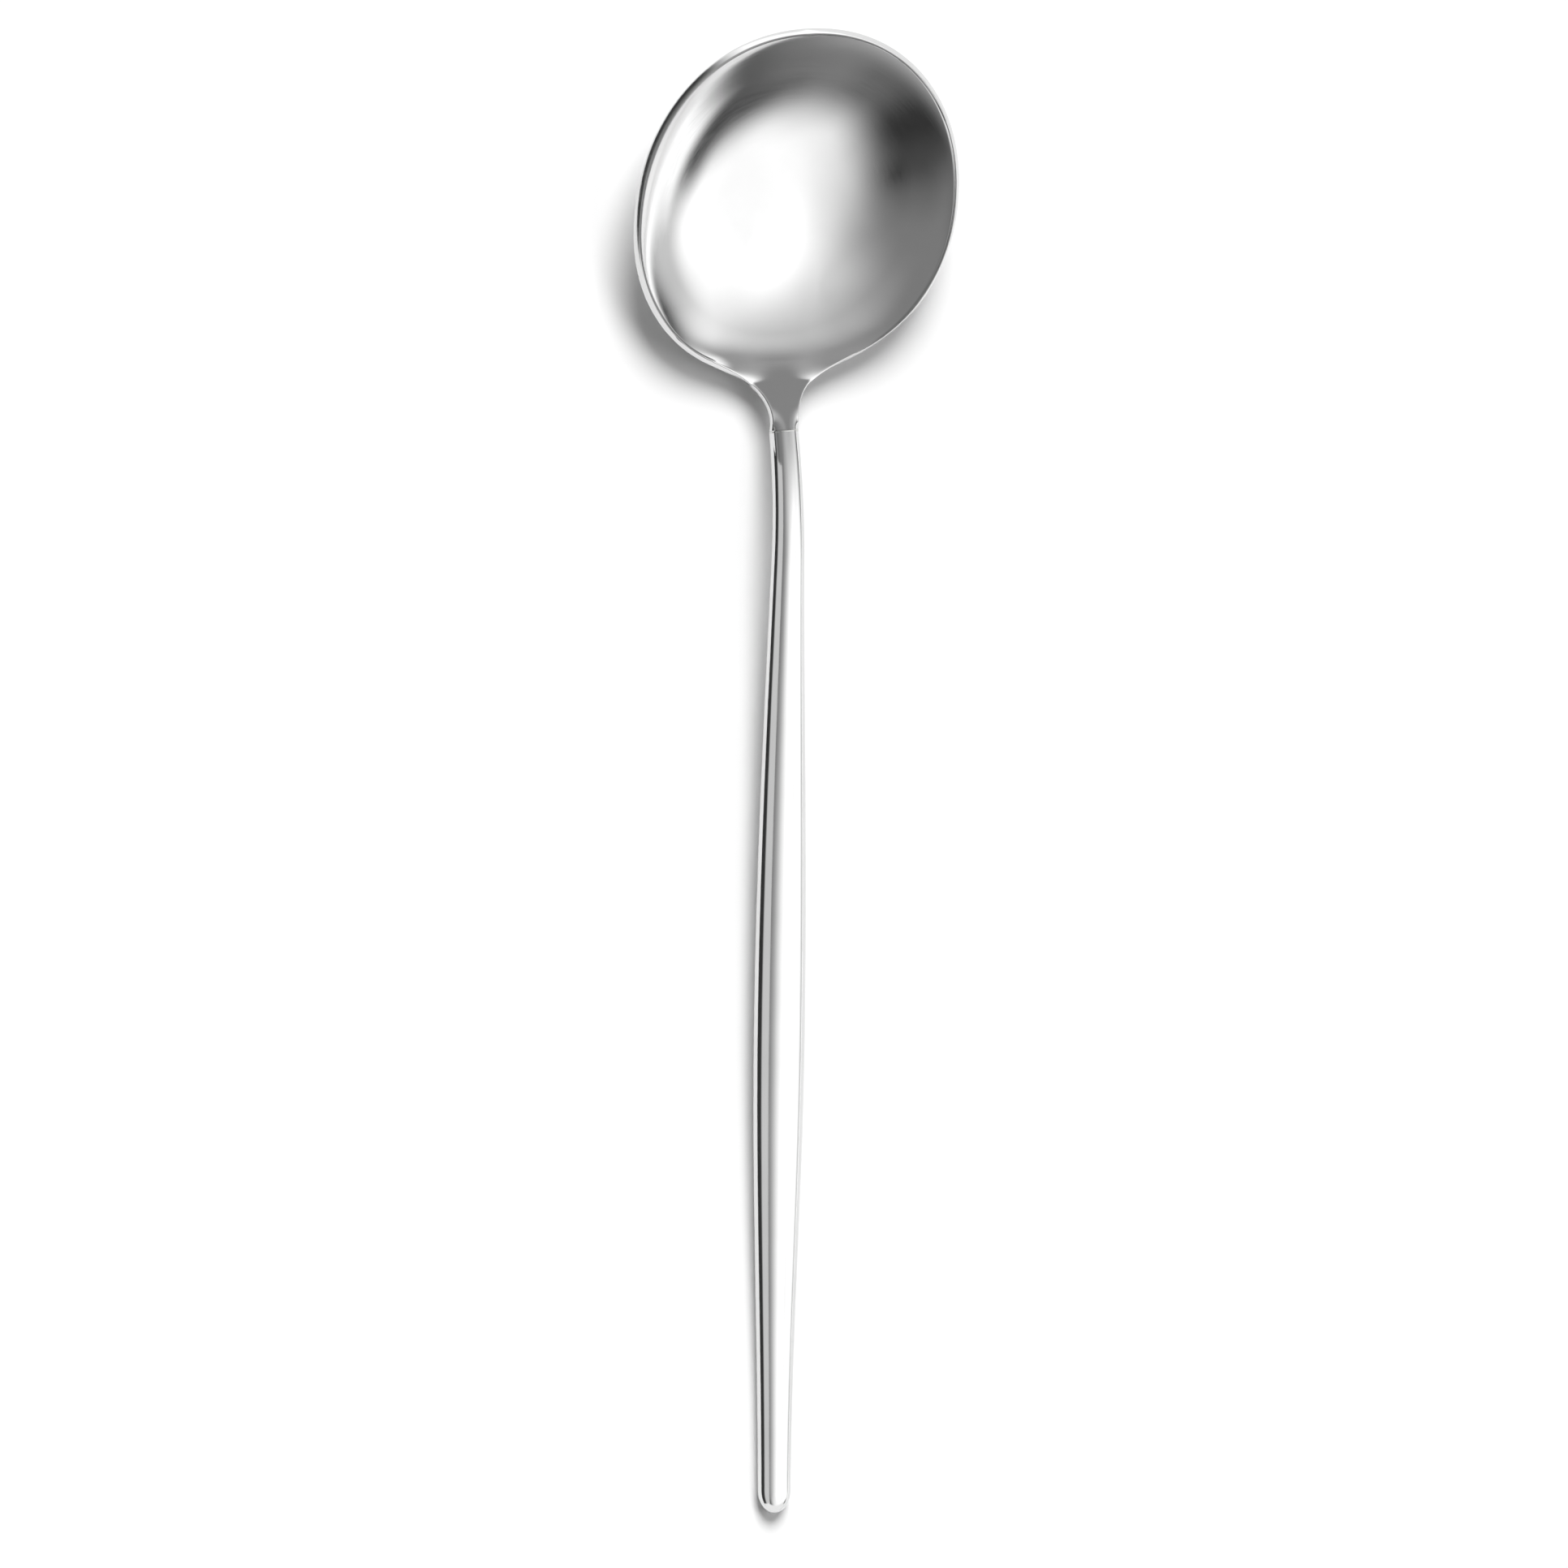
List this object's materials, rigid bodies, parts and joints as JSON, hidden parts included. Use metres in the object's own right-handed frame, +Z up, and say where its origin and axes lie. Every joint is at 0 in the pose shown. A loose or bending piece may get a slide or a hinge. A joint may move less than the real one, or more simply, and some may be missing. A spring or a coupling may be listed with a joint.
{
  "type": "soup spoon",
  "caption": "Round-bowled soup spoon of polished steel with a slender tapering handle soldered to the neck of the bowl.",
  "frame": {"origin": "on the table, under the middle of the spoon's length and width", "axes": "+Y from the tip of the handle to the front of the bowl, +Z up out of the hollow, +X across the spoon"},
  "size_m": [0.0448, 0.195, 0.0136],
  "materials": {
    "polished_steel": "polished",
    "silver_solder": "polished"
  },
  "bodies": {
    "root": {"bowl": "polished_steel", "handle": "polished_steel", "solder_seam": "silver_solder"}
  },
  "joints": []
}
